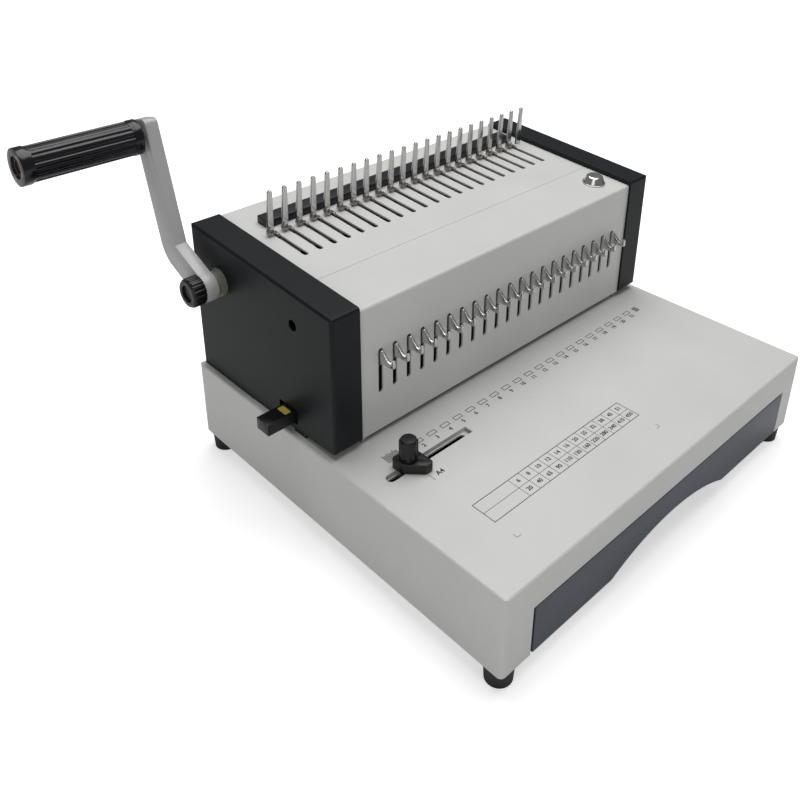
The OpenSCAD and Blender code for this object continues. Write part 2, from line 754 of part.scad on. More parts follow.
// Arm: two straight stretches with a mitred bend, a round hub and a squared end
module crank_arm() {
    hub = [shaft_y, shaft_z];
    bend = hub + arm_bend;
    top = [spindle_y, spindle_z];
    lower = unit(bend - hub);
    upper = unit(top - bend);
    half = arm_width / 2;
    side_low = [-lower[1], lower[0]] * half;
    side_up = [-upper[1], upper[0]] * half;
    mitre = unit(side_low + side_up) * half * half / (unit(side_low + side_up) * side_low);
    // outer side of the bend, rounded between its two tangent points
    outer = bend - mitre;
    turn = corner_half(outer - lower, outer, outer + upper);
    reach = arm_bend_radius / tan(turn);
    bend_low = outer - lower * reach;
    bend_up = outer + upper * reach;
    end_round = 5;
    tip = top + upper * 12.5;
    corner = unit(side_up) * (half - end_round);
    color(cast) difference() {
        along_x(arm_out, arm_in) {
            translate(hub) circle(arm_hub_radius);
            polygon([hub - side_low, bend_low, bend + mitre, hub + side_low]);
            polygon([bend_up, tip - upper * end_round - side_up, tip - corner, tip + corner,
                     tip - upper * end_round + side_up, bend + mitre]);
            intersection() {
                polygon([bend_low, outer, bend_up, bend + mitre]);
                translate(corner_centre(outer - lower, outer, outer + upper, arm_bend_radius))
                    circle(arm_bend_radius, $fn = 180);
            }
            for (way = [-1, 1]) translate(tip - upper * end_round + way * corner)
                circle(end_round);
        }
        box([arm_out - cut, shaft_y - seat_half, shaft_z - seat_half],
            [arm_in + cut, shaft_y + seat_half, shaft_z + seat_half]);
        round_x(arm_out - cut, arm_in + cut, spindle_y, spindle_z, 4.5);
    }
}

module grip_spindle() {
    color(steel) {
        round_x(arm_out, arm_in - 1, spindle_y, spindle_z, 4.5);
        round_x(grip_in + 0.2, arm_out, spindle_y, spindle_z, 6.5);
        round_x(grip_in - grip_length + 8, arm_out, spindle_y, spindle_z, 4);
        round_x(grip_in - grip_length + 6, grip_in - grip_length + 8, spindle_y, spindle_z, 6);
    }
}

module grip() {
    color(black) translate([grip_in, spindle_y, spindle_z]) rotate([0, -90, 0])
        difference() {
            union() {
                cylinder(h = grip_length, r = grip_radius);
                // raised end rings
                cylinder(h = 5, r = grip_radius + grip_ring / 2);
                translate([0, 0, grip_length - 7]) cylinder(h = 7, r = grip_radius + grip_ring);
            }
            // shallow flutes for the fingers
            for (k = [0 : 15]) rotate([0, 0, k * 360 / 16])
                translate([grip_radius + 2, 0, 7])
                    cylinder(h = grip_length - 16, r = 2.7, $fn = 32);
            translate([0, 0, -cut]) cylinder(h = grip_length, r = 4 + running);
            // recess of the spindle's head and of the end plug
            translate([0, 0, grip_length - 8.2]) cylinder(h = 10, r = 8.5);
        }
}

module grip_plug() {
    color([0.30, 0.16, 0.09]) translate([grip_in - grip_length, spindle_y, spindle_z])
        rotate([0, 90, 0]) difference() {
            translate([0, 0, 1.5]) cylinder(h = 3.5, r = 8.5);
            translate([0, 0, 1.5 - cut]) cylinder(h = 1 + cut, r = 5);
        }
}

module lock_knob() {
    color(black) translate([arm_out - 0.2, shaft_y, shaft_z]) rotate([0, -90, 0])
        difference() {
            union() {
                cylinder(h = 9, r = 12);
                translate([0, 0, 9]) cylinder(h = 2, r1 = 12, r2 = 10.6);
            }
            // grip notches round the rim
            for (k = [0 : 17]) rotate([0, 0, k * 20])
                translate([12.9, 0, -cut]) cylinder(h = 11 + 2 * cut, r = 1.5, $fn = 24);
            translate([0, 0, -cut]) cylinder(h = 7.8 + cut, r = 4 + running);
            translate([0, 0, 8.9]) cylinder(h = 3, r = 7);
        }
}

// ---- Comb opener carriage ----

// Path of the drive pin in the carriage, from rest to the end of the pull
drive_rest = [slope_u(drive_y, drive_z), slope_w(drive_y, drive_z)];
drive_end = [slope_u(drive_y, drive_z - punch_stroke) + slide_travel,
             slope_w(drive_y, drive_z - punch_stroke)];

module rack_teeth() {
    half = PI * gear_module / 4 - 0.05;
    first = ceil((122 - shaft_u) / (PI * gear_module));
    last = floor((rack_rear - 2.5 - shaft_u) / (PI * gear_module) - 0.5);
    for (k = [first : last])
        translate([shaft_u + (k + 0.5) * PI * gear_module, rack_pitch_w])
            polygon([[-half - 1.3 * gear_module * tan(pressure), 1.3 * gear_module],
                     [half + 1.3 * gear_module * tan(pressure), 1.3 * gear_module],
                     [half - 0.9 * gear_module * tan(pressure), -0.9 * gear_module],
                     [-half + 0.9 * gear_module * tan(pressure), -0.9 * gear_module]]);
}

module slide_plates() {
    color(steel) both_sides() on_slope() along_x(plate_in, plate_out) difference() {
        union() {
            polygon([[plate_front, plate_top], [rack_rear, plate_top], [rack_rear, rack_root_w],
                     [122, rack_root_w], [119, rack_root_w - 4], [plate_step, rack_root_w - 4],
                     [plate_step, -46], [84, -82], [62, -82], [plate_front, -52]]);
            rack_teeth();
        }
        // guide slot on the frame's studs
        slot_2d([stud_u[0], stud_w], [stud_u[1] + slide_travel + 0.2, stud_w],
                2 * (stud_radius + 0.08));
        // inclined slot that drives the punch bar
        slot_2d(drive_rest, drive_end, 2 * (drive_pin_radius + gap));
    }
}

module hook_bar() {
    color(steel) on_slope()
        box([-plate_in, hook_bar_u[0], hook_bar_w[0]], [plate_in, hook_bar_u[1], hook_bar_w[1]]);
}

module opener_hook() {
    // plate that sits astride the bar
    translate([-1, 0, 0]) difference() {
        box([0, 94, hook_bar_w[0]], [2, neck_rear, hook_plate_top]);
        box([-cut, hook_bar_u[0], hook_bar_w[0] - cut], [2 + cut, hook_bar_u[1], hook_bar_w[1]]);
    }
    // neck through the slot
    translate([0, neck_rear, 0]) rotate([90, 0, 0]) linear_extrude(neck_depth)
        translate([-1, hook_plate_top - 0.5]) square([2, 4.9]);
    // claw in front of the comb finger, bent to one side and up, that pulls the ring open
    translate([0, neck_rear + 2, 0]) rotate([90, 0, 0]) linear_extrude(neck_depth) {
        translate([-4.7, 0.5]) square([5.7, 1.9]);
        translate([-4.7, 3.9]) difference() {
            circle(3.4);
            circle(1.5);
            polygon([[0, 0], [8, -6], [8, 8], [1.2, 8]]);
        }
    }
}

module opener_hooks() {
    color([0.62, 0.56, 0.50]) on_slope()
        for (i = [1 : hole_count]) translate([hole_x(i), 0, 0]) opener_hook();
}

// ---- Punch bar ----

module punch_bar() {
    color(cast) difference() {
        union() {
            box([-bar_x, bar_y[0], bar_z[0]], [bar_x, bar_y[1], bar_z[1]]);
            both_sides() box([arm_inner, bar_y[1] - cut, bar_z[0]], [bar_x, bar_rear, bar_z[1]]);
        }
        for (i = [1 : hole_count]) {
            // channel of the selector
            box([hole_x(i) - selector_thick / 2 - 0.15, bar_y[0] - cut, shank_z[0]],
                [hole_x(i) + selector_thick / 2 + 0.15, shank_rear + gap, shank_z[1] + 0.15]);
            // pocket of the punch
            box([hole_x(i) - hole_length / 2 - 0.1, punch_row_y - hole_width / 2 - 0.1,
                 bar_z[0] - cut],
                [hole_x(i) + hole_length / 2 + 0.1, punch_row_y + hole_width / 2 + 0.1,
                 shank_z[0] + 0.01]);
        }
        for (x = [-post_x, post_x])
            translate([x, post_y, bar_z[0] - cut])
                cylinder(h = bar_z[1] - bar_z[0] + 2 * cut, r = post_radius + running);
        both_sides() round_x(arm_inner - cut, bar_x + cut, drive_y, drive_z, drive_pin_radius);
    }
}

module punches() {
    color(steel) for (i = [1 : hole_count])
        box([hole_x(i) - hole_length / 2, punch_row_y - hole_width / 2, punch_tip],
            [hole_x(i) + hole_length / 2, punch_row_y + hole_width / 2, shank_z[0] - 0.05]);
}

module drive_pins() {
    color(steel) both_sides()
        round_x(arm_inner, frame_out, drive_y, drive_z, drive_pin_radius);
}

// Selector tab: a shank in the punch bar and a finger lip in front of the cover
module punch_selector(i) {
    color(steel) translate([hole_x(i) - selector_thick / 2, 0, 0])
        along_x(0, selector_thick) translate([head_y, base_top]) {
            polygon([[shank_rear - head_y, 63.05], [shank_rear - head_y, 72.95], [3.4, 72.95],
                     [2.2, 75.6], [-2.2, 76.2], [-9, 70.1], [-11.4, 69], [-12.9, 70.2],
                     [-13.4, 72.9], [-14.2, 73.5], [-15, 72.9], [-15.2, 67.4], [-14.2, 66],
                     [-3.2, 65.6], [-0.6, 63.05]]);
        }
}

// ---- Drawer ----

module drawer_front() {
    arch_x = 3.4;
    half_chord = 77;
    arch_radius = (half_chord * half_chord + arch_height * arch_height) / (2 * arch_height);
    color(slate) difference() {
        translate([0, tray_front, 0]) rotate([90, 0, 0]) linear_extrude(drawer_sheet)
            rounded_rect([drawer_left, foot_height],
                         [drawer_right, foot_height + drawer_height], 1);
        translate([arch_x, front_y - cut, foot_height + arch_height - arch_radius])
            rotate([-90, 0, 0]) cylinder(h = drawer_sheet + 2 * cut, r = arch_radius, $fn = 180);
    }
}

module waste_tray() {
    rear = tray_front + tray_depth;
    color(dark) difference() {
        box([tray_left, tray_front, tray_low], [tray_right, rear, tray_high]);
        // deep part for the chips
        box([tray_left + tray_wall, tray_step_y + tray_wall, tray_low + tray_wall],
            [tray_right - tray_wall, rear - tray_wall, tray_high + cut]);
        // shallow part over the finger room
        box([tray_left + tray_wall, tray_front + tray_wall, tray_step_z + tray_wall],
            [tray_right - tray_wall, tray_step_y + tray_wall + cut, tray_high + cut]);
        box([tray_left - cut, tray_front - cut, tray_low - cut],
            [tray_right + cut, tray_step_y, tray_step_z]);
    }
}

// ---- Paper guides and dial ----

module edge_guide() {
    outline = [[-9, 9], [-9, -2], [4, -15], [11, -15], [11, 9]];
    color(black) difference() {
        union() {
            translate([-guide_x, guide_y, guide_base_z])
                linear_extrude(guide_knob_z - 0.1 - guide_base_z)
                    rounded_outline(outline, [2.5, 3, 2, 2, 2.5]);
            // key that keeps the guide square in its slot
            translate([0, 0, base_top - 3.7]) linear_extrude(3.7 + cut)
                slot_2d([-guide_x - 2.3, guide_y], [-guide_x + 2.3, guide_y],
                        guide_slot - 2 * gap);
        }
        translate([-guide_x, guide_y, base_top - 4.5]) cylinder(h = 20, r = 2.5 + gap);
    }
}

module guide_nut() {
    color(steel) difference() {
        box([-guide_x - 7, guide_y - 7, base_top - 10],
            [-guide_x + 7, guide_y + 7, base_top - 5.7]);
        translate([-guide_x, guide_y, base_top - 11]) cylinder(h = 6, r = 2.5 + running);
    }
}

module guide_knob() {
    color(black) translate([-guide_x, guide_y, 0]) {
        difference() {
            union() {
                translate([0, 0, guide_knob_z]) cylinder(h = 2.5, r = 6.8);
                translate([0, 0, guide_knob_z + 2.5]) cylinder(h = 13.3, r = 7.1);
                translate([0, 0, guide_knob_z + 15.8]) cylinder(h = 1.8, r1 = 7.1, r2 = 5.6);
            }
            for (k = [0 : 7]) rotate([0, 0, k * 45 + 22.5])
                translate([8.7, 0, guide_knob_z + 2.5])
                    cylinder(h = 20, r = 2.6, $fn = 32);
        }
        translate([0, 0, base_top - 11.5]) cylinder(h = guide_knob_z - base_top + 12.5, r = 2.5);
    }
}

module margin_lever() {
    color(black) {
        difference() {
            box([-cap_x - lever_out, lever_y[0], lever_z[0]], [-stop_x + stop_foot, lever_y[1], lever_z[1]]);
            // shallow seat of the label
            box([-cap_x - 8, lever_y[0] + 1.2, lever_z[1] - 0.3],
                [-cap_x - 1.5, lever_y[1] - 1.2, lever_z[1] + cut]);
        }
        // foot on the paper stop
        box([-stop_x, lever_y[0], base_top + 3.3],
            [-stop_x + stop_foot, lever_y[1], lever_z[0] + cut]);
    }
}

module back_stop() {
    color(steel) box([-stop_x, stop_front, base_top + 0.3], [stop_x, lever_y[1] + 1.6, base_top + 3.3]);
}

module dial_knob() {
    color(steel) on_slope() translate([dial[0], dial[1], 0]) {
        cylinder(h = 1.1, r = 10.5);
        // tapered body with finger flats
        difference() {
            translate([0, 0, 1.1]) cylinder(h = 5.7, r1 = 9.8, r2 = 7.5);
            for (k = [0 : 7]) rotate([0, 0, k * 45]) translate([9.1, -4, 2.4])
                rotate([0, -22, 0]) cube([4, 8, 6]);
        }
        translate([0, 0, 6.8]) cylinder(h = 0.8, r1 = 7.5, r2 = 6.3);
        translate([0, 0, -4]) cylinder(h = 4.5, r = 3);
        // retaining ring below the cover
        translate([0, 0, -sheet - 1.6]) cylinder(h = 1.5, r = 5);
    }
}

base_cabinet();
base_pan();
rubber_feet();
case_screws();
left_end_cap();
right_end_cap();
front_cover();
rear_top_cover();
side_frames();
shaft_bushings();
shaft_collar();
die_plate();
stripper_plate();
guide_posts();
return_springs();
comb_fence();
comb_rest_bar();
guide_rail();
main_shaft();
drive_pinions();
crank_arm();
grip_spindle();
grip();
grip_plug();
lock_knob();
slide_plates();
hook_bar();
opener_hooks();
punch_bar();
punches();
drive_pins();
waste_tray();
drawer_front();
edge_guide();
guide_nut();
guide_knob();
margin_lever();
back_stop();
dial_knob();
for (i = [1 : hole_count])
    punch_selector(i);
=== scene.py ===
from math import cos, radians, sin

import bmesh
import bpy
from mathutils import Matrix, Vector


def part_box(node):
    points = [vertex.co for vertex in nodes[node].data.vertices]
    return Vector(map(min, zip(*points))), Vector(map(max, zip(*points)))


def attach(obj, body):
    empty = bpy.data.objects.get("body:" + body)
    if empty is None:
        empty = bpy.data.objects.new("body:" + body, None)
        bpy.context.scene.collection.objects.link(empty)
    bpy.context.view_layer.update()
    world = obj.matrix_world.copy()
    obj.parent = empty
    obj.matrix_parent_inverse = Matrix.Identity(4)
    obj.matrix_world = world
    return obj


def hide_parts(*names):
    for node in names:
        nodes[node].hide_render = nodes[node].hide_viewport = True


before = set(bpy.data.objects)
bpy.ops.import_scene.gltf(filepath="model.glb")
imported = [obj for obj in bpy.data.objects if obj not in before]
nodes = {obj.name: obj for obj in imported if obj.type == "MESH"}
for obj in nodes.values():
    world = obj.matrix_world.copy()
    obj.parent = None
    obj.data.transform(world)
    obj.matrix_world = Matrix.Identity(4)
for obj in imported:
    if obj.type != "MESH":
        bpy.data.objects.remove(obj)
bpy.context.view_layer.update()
MM = 0.001


# ---- Camera ----
# The view is from above the left front corner, with the optical axis above the middle of the
# picture, so that the shift brings the machine into the frame.

camera_data = bpy.data.cameras.new("camera")
camera_data.sensor_width = 36
camera_data.lens = 40.89
camera_data.shift_x = -0.0184
camera_data.shift_y = -0.222
camera_data.clip_start = 0.05
camera_data.clip_end = 50
camera = bpy.data.objects.new("camera", camera_data)
bpy.context.scene.collection.objects.link(camera)
bpy.context.scene.camera = camera

camera_place = (-0.51052, -0.421608, 0.532839)
camera_heading = 0.764
camera_drop = -0.448
camera_roll = 0.008
forward = Vector((sin(camera_heading) * cos(camera_drop),
                  cos(camera_heading) * cos(camera_drop), sin(camera_drop)))
level = forward.cross(Vector((0, 0, 1))).normalized()
upward = level.cross(forward)
right = level * cos(camera_roll) + upward * sin(camera_roll)
top = upward * cos(camera_roll) - level * sin(camera_roll)
camera.matrix_world = Matrix.Translation(camera_place) @ Matrix(
    (right, top, -forward)).transposed().to_4x4()


# ---- Studio ----
# A wide sheet of pale paper under the machine, one large soft lamp overhead, a weaker one on
# the left side and an even room. The room and the far paper are white to the camera only.

def node_material(name):
    """A new material with its node tree, its Principled shader and its output."""
    material = bpy.data.materials.new(name)
    material.use_nodes = True
    return material, material.node_tree, material.node_tree.nodes["Principled BSDF"]


def link(tree, source, target):
    tree.links.new(source, target)


def add(tree, kind, **values):
    """A node of a tree with some of its properties or inputs set."""
    made = tree.nodes.new(kind)
    for key, value in values.items():
        if key in made.inputs:
            made.inputs[key].default_value = value
        else:
            setattr(made, key, value)
    return made


scene = bpy.context.scene
scene.view_settings.view_transform = "Standard"
world = bpy.data.worlds.new("room")
world.use_nodes = True
scene.world = world
room = world.node_tree
room_background = room.nodes["Background"]
room_paths = add(room, "ShaderNodeLightPath")
room_seen = add(room, "ShaderNodeMath", operation="MAXIMUM")
link(room, room_paths.outputs["Is Camera Ray"], room_seen.inputs[0])
link(room, room_paths.outputs["Is Transmission Ray"], room_seen.inputs[1])
room_level = add(room, "ShaderNodeMapRange")
room_level.inputs["To Min"].default_value = 0.2
room_level.inputs["To Max"].default_value = 1.0
link(room, room_seen.outputs[0], room_level.inputs["Value"])
link(room, room_level.outputs["Result"], room_background.inputs["Strength"])
room_background.inputs["Color"].default_value = (1, 1, 1, 1)


def soft_lamp(name, place, aim, width, height, power):
    data = bpy.data.lights.new(name, "AREA")
    data.shape = "RECTANGLE"
    data.size = width
    data.size_y = height
    data.energy = power
    lamp = bpy.data.objects.new(name, data)
    lamp.location = place
    lamp.rotation_euler = (Vector(aim) - Vector(place)).to_track_quat("-Z", "Y").to_euler()
    scene.collection.objects.link(lamp)


soft_lamp("overhead_lamp", (0.35, 0.25, 2.1), (0.0, 0.05, 0.1), 2.0, 1.8, 37)
soft_lamp("left_lamp", (-1.9, -1.3, 1.1), (0.0, 0.0, 0.12), 1.4, 1.2, 7)

floor_half = 6
floor_mesh = bpy.data.meshes.new("floor")
floor_mesh.from_pydata([(x * floor_half, y * floor_half, 0)
                        for x, y in ((-1, -1), (1, -1), (1, 1), (-1, 1))], [], [(0, 1, 2, 3)])
floor = bpy.data.objects.new("floor", floor_mesh)
scene.collection.objects.link(floor)
floor_paper, floor_tree, floor_shader = node_material("floor_paper")
floor_shader.inputs["Base Color"].default_value = (0.93, 0.93, 0.93, 1)
floor_shader.inputs["Roughness"].default_value = 0.9
floor_shader.inputs["Specular IOR Level"].default_value = 0.1
floor_paths = add(floor_tree, "ShaderNodeLightPath")
floor_tone = add(floor_tree, "ShaderNodeMapRange")
floor_tone.inputs["To Min"].default_value = 0.0
floor_place = add(floor_tree, "ShaderNodeTexCoord")
floor_distance = add(floor_tree, "ShaderNodeVectorMath", operation="LENGTH")
link(floor_tree, floor_place.outputs["Object"], floor_distance.inputs[0])
floor_far = add(floor_tree, "ShaderNodeMapRange")
floor_far.inputs["From Min"].default_value = 0.5
floor_far.inputs["From Max"].default_value = 2.5
floor_far.inputs["To Min"].default_value = 0.52
floor_far.inputs["To Max"].default_value = 1.0
link(floor_tree, floor_distance.outputs["Value"], floor_far.inputs["Value"])
link(floor_tree, floor_far.outputs["Result"], floor_tone.inputs["To Max"])
link(floor_tree, floor_paths.outputs["Is Camera Ray"], floor_tone.inputs["Value"])
link(floor_tree, floor_tone.outputs["Result"], floor_shader.inputs["Emission Strength"])
floor_shader.inputs["Emission Color"].default_value = (1, 1, 1, 1)
floor.data.materials.append(floor_paper)


# ---- Cabinet and covers ----
# Folded steel sheet with a baked powder coat: a pale warm grey with a fine orange peel. The
# pan, both covers and the rail under the guide's slot have the same coat, and the sheets are
# screwed to the frames inside.

def new_group(name, inputs, outputs):
    """A shader node group with named sockets: (name, kind, default) in, (name, kind) out."""
    group = bpy.data.node_groups.new(name, "ShaderNodeTree")
    for socket, kind, default in inputs:
        made = group.interface.new_socket(name=socket, in_out="INPUT", socket_type=kind)
        made.default_value = default
    for socket, kind in outputs:
        group.interface.new_socket(name=socket, in_out="OUTPUT", socket_type=kind)
    return group, group.nodes.new("NodeGroupInput"), group.nodes.new("NodeGroupOutput")


def mottled_finish_group():
    """Colour that drifts a little over the surface, with fine grain in height and gloss."""
    group, given, result = new_group(
        "mottled_finish",
        [("Color", "NodeSocketColor", (0.7, 0.7, 0.7, 1)),
         ("Drift", "NodeSocketFloat", 0.04),
         ("Grain Scale", "NodeSocketFloat", 900.0),
         ("Roughness", "NodeSocketFloat", 0.45),
         ("Roughness Spread", "NodeSocketFloat", 0.06)],
        [("Color", "NodeSocketColor"), ("Roughness", "NodeSocketFloat"),
         ("Height", "NodeSocketFloat")])
    place = add(group, "ShaderNodeTexCoord")
    patches = add(group, "ShaderNodeTexNoise", Scale=14.0, Detail=3.0)
    grain = add(group, "ShaderNodeTexNoise", Detail=2.0)
    link(group, place.outputs["Object"], patches.inputs["Vector"])
    link(group, place.outputs["Object"], grain.inputs["Vector"])
    link(group, given.outputs["Grain Scale"], grain.inputs["Scale"])
    low = add(group, "ShaderNodeMath", operation="SUBTRACT")
    low.inputs[0].default_value = 1.0
    link(group, given.outputs["Drift"], low.inputs[1])
    high = add(group, "ShaderNodeMath", operation="ADD")
    high.inputs[0].default_value = 1.0
    link(group, given.outputs["Drift"], high.inputs[1])
    level_of = add(group, "ShaderNodeMapRange")
    level_of.inputs["From Min"].default_value = 0.3
    level_of.inputs["From Max"].default_value = 0.7
    link(group, patches.outputs["Fac"], level_of.inputs["Value"])
    link(group, low.outputs[0], level_of.inputs["To Min"])
    link(group, high.outputs[0], level_of.inputs["To Max"])
    tint = add(group, "ShaderNodeVectorMath", operation="SCALE")
    link(group, given.outputs["Color"], tint.inputs[0])
    link(group, level_of.outputs["Result"], tint.inputs["Scale"])
    link(group, tint.outputs["Vector"], result.inputs["Color"])
    spread = add(group, "ShaderNodeMath", operation="MULTIPLY_ADD")
    centred = add(group, "ShaderNodeMath", operation="SUBTRACT")
    link(group, grain.outputs["Fac"], centred.inputs[0])
    centred.inputs[1].default_value = 0.5
    link(group, centred.outputs[0], spread.inputs[0])
    link(group, given.outputs["Roughness Spread"], spread.inputs[1])
    link(group, given.outputs["Roughness"], spread.inputs[2])
    link(group, spread.outputs[0], result.inputs["Roughness"])
    link(group, grain.outputs["Fac"], result.inputs["Height"])
    return group


mottled_finish = mottled_finish_group()


def coated(name, color, roughness, grain_scale, grain_depth, drift=0.03, spread=0.1,
           coat=0.0, specular=0.5):
    """A painted or moulded surface made with the mottled finish."""
    material, tree, shader = node_material(name)
    finish = add(tree, "ShaderNodeGroup", node_tree=mottled_finish)
    finish.inputs["Color"].default_value = (*color, 1)
    finish.inputs["Drift"].default_value = drift
    finish.inputs["Grain Scale"].default_value = grain_scale
    finish.inputs["Roughness"].default_value = roughness
    finish.inputs["Roughness Spread"].default_value = spread
    bump = add(tree, "ShaderNodeBump", Strength=0.6, Distance=grain_depth)
    link(tree, finish.outputs["Color"], shader.inputs["Base Color"])
    link(tree, finish.outputs["Roughness"], shader.inputs["Roughness"])
    link(tree, finish.outputs["Height"], bump.inputs["Height"])
    link(tree, bump.outputs["Normal"], shader.inputs["Normal"])
    shader.inputs["Coat Weight"].default_value = coat
    shader.inputs["Specular IOR Level"].default_value = specular
    return material


def dress(material, *names):
    """Give carried-over nodes a finish."""
    for name in names:
        surface = nodes[name]
        if surface.material_slots:
            surface.material_slots[0].material = material
        else:
            surface.data.materials.append(material)


powder_coat = coated("powder_coat", (0.66, 0.662, 0.65), 0.42, 1100, 0.00008)
dress(powder_coat, "base_cabinet", "base_pan", "front_cover", "rear_top_cover",
      "guide_rail")


# ---- Printing on the cabinet ----
# Black pad printing: an outline and a number for each hole, a fine scale for the edge guide,
# the paper mark, a plain number table and two corner marks. Each is a film of ink on the top.

ink, ink_tree, ink_shader = node_material("printing_ink")
ink_film = add(ink_tree, "ShaderNodeGroup", node_tree=mottled_finish)
ink_film.inputs["Color"].default_value = (0.02, 0.02, 0.022, 1)
ink_film.inputs["Drift"].default_value = 0.2
ink_film.inputs["Grain Scale"].default_value = 2500
ink_film.inputs["Roughness"].default_value = 0.5
link(ink_tree, ink_film.outputs["Color"], ink_shader.inputs["Base Color"])
link(ink_tree, ink_film.outputs["Roughness"], ink_shader.inputs["Roughness"])

cabinet_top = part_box("base_cabinet")[1].z
ink_thick = 0.03 * MM
hole_pitch = 14.2875 * MM
hole_count = 21


def hole_x(number):
    return (number - 1 - (hole_count - 1) / 2) * hole_pitch


def ink_line(bm, start, end, width):
    """A straight printed line as a thin slab on the cabinet's top, in metres."""
    start, end = Vector(start), Vector(end)
    side = Vector((-(end - start).y, (end - start).x)).normalized() * width / 2
    corners = [start - side, end - side, end + side, start + side]
    low = [bm.verts.new((p.x, p.y, cabinet_top)) for p in corners]
    high = [bm.verts.new((p.x, p.y, cabinet_top + ink_thick)) for p in corners]
    bm.faces.new(high)
    bm.faces.new(low[::-1])
    for k in range(4):
        bm.faces.new((low[k], low[(k + 1) % 4], high[(k + 1) % 4], high[k]))


def ink_frame(bm, x0, y0, x1, y1, width):
    """A printed rectangle, as four lines."""
    half = width / 2
    ink_line(bm, (x0 - half, y0), (x1 + half, y0), width)
    ink_line(bm, (x0 - half, y1), (x1 + half, y1), width)
    ink_line(bm, (x0, y0 + half), (x0, y1 - half), width)
    ink_line(bm, (x1, y0 + half), (x1, y1 - half), width)


def printed(name, bm):
    """The piece of printing made from a bmesh, riding on the machine's body."""
    mesh = bpy.data.meshes.new(name)
    bm.to_mesh(mesh)
    bm.free()
    piece = bpy.data.objects.new(name, mesh)
    scene.collection.objects.link(piece)
    mesh.materials.append(ink)
    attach(piece, "machine_body")


def printed_text(bm, words, x, y, size):
    """Adds a printed number or paper mark, centred on a place of the cabinet's top."""
    curve = bpy.data.curves.new("print", "FONT")
    curve.body = words
    curve.size = size
    curve.align_x = "CENTER"
    curve.align_y = "CENTER"
    curve.extrude = ink_thick / 2
    curve.offset = size * 0.03
    curve.resolution_u = 3
    letters = bpy.data.objects.new("print", curve)
    mesh = bpy.data.meshes.new_from_object(letters)
    mesh.transform(Matrix.Translation((x, y, cabinet_top + ink_thick / 2)))
    bm.from_mesh(mesh)
    bpy.data.objects.remove(letters)
    bpy.data.curves.remove(curve)
    bpy.data.meshes.remove(mesh)


mark_front, mark_back = -30.6 * MM, -27.0 * MM
mark_half = 3.9 * MM
number_y = -35.2 * MM
number_height = 5.4 * MM
fine_line = 0.6 * MM

hole_marks = bmesh.new()
for number in range(1, hole_count + 1):
    ink_frame(hole_marks, hole_x(number) - mark_half, mark_front,
              hole_x(number) + mark_half, mark_back, fine_line)
printed("hole_outlines", hole_marks)

hole_numbers = bmesh.new()
for number in range(1, hole_count + 1):
    printed_text(hole_numbers, str(number), hole_x(number), number_y, number_height)
printed("hole_numbers", hole_numbers)

# a tick for each millimetre at the guide, a long one every fifth, and a close block of lines
# at the row's right end
guide_ticks, guide_left = 14, -161
tick_front, tick_back, long_tick_back = -32.6, -24, -22.5
block_lines, block_left, block_step = 8, 152.6, 0.75
block_front, block_back = -34, -27
guide_scale = bmesh.new()
for step in range(guide_ticks):
    x = (guide_left + step) * MM
    ink_line(guide_scale, (x, tick_front * MM),
             (x, (tick_back if step % 5 else long_tick_back) * MM), 0.5 * MM)
for step in range(block_lines):
    x = (block_left + step * block_step) * MM
    ink_line(guide_scale, (x, block_front * MM), (x, block_back * MM), 0.45 * MM)
printed("guide_scale", guide_scale)

# the paper's edge line with its mark, and two corner marks nearer the front
edge_line_x, edge_line_back, edge_line_front = -149 * MM, -61 * MM, -68 * MM
corner_y, corner_arm, corner_width = -144, 4, 0.35 * MM
paper_mark = bmesh.new()
ink_line(paper_mark, (edge_line_x, edge_line_back), (edge_line_x, edge_line_front), 0.4 * MM)
printed_text(paper_mark, "A4", -140.6 * MM, -64.2 * MM, 6.0 * MM)
for x, way in ((-148.4, 1), (20.5, -1)):
    corner = (x * MM, corner_y * MM)
    ink_line(paper_mark, corner, ((x + corner_arm * way) * MM, corner_y * MM), corner_width)
    ink_line(paper_mark, corner, (x * MM, (corner_y + corner_arm) * MM), corner_width)
printed("paper_marks", paper_mark)

# number table: comb diameters in millimetres above sheet counts
table_left, table_right = -148.8, 20.8
table_front, table_back = -124.8, -103.6
header_width = 37.0
comb_sizes = (6, 8, 10, 12, 14, 16, 20, 25, 32, 38, 45, 51)
sheet_counts = (20, 40, 65, 90, 110, 130, 160, 220, 280, 340, 410, 450)
cell = (table_right - table_left - header_width) / len(comb_sizes)
table_middle = (table_front + table_back) / 2
table_line = 0.4 * MM
row_offset = 5.3
table_number_height = 5.0 * MM
number_table = bmesh.new()
ink_frame(number_table, table_left * MM, table_front * MM, table_right * MM, table_back * MM,
          fine_line)
ink_line(number_table, (table_left * MM, table_middle * MM),
         (table_right * MM, table_middle * MM), table_line)
for column in range(len(comb_sizes)):
    x = table_left + header_width + column * cell
    ink_line(number_table, (x * MM, table_front * MM), (x * MM, table_back * MM), table_line)
    for value, y in ((comb_sizes[column], table_middle + row_offset),
                     (sheet_counts[column], table_middle - row_offset)):
        printed_text(number_table, str(value), (x + cell / 2) * MM, y * MM,
                     table_number_height)
printed("number_table", number_table)


# ---- Feet and drawer ----
# Moulded rubber feet with push-in stems. The drawer's front is a slate-grey moulding with a
# finger arch in its lower edge, and the chip tray behind it is darker.

foot_rubber = coated("foot_rubber", (0.018, 0.018, 0.019), 0.62, 1600, 0.00012, drift=0.2)
dress(foot_rubber, "rubber_feet")


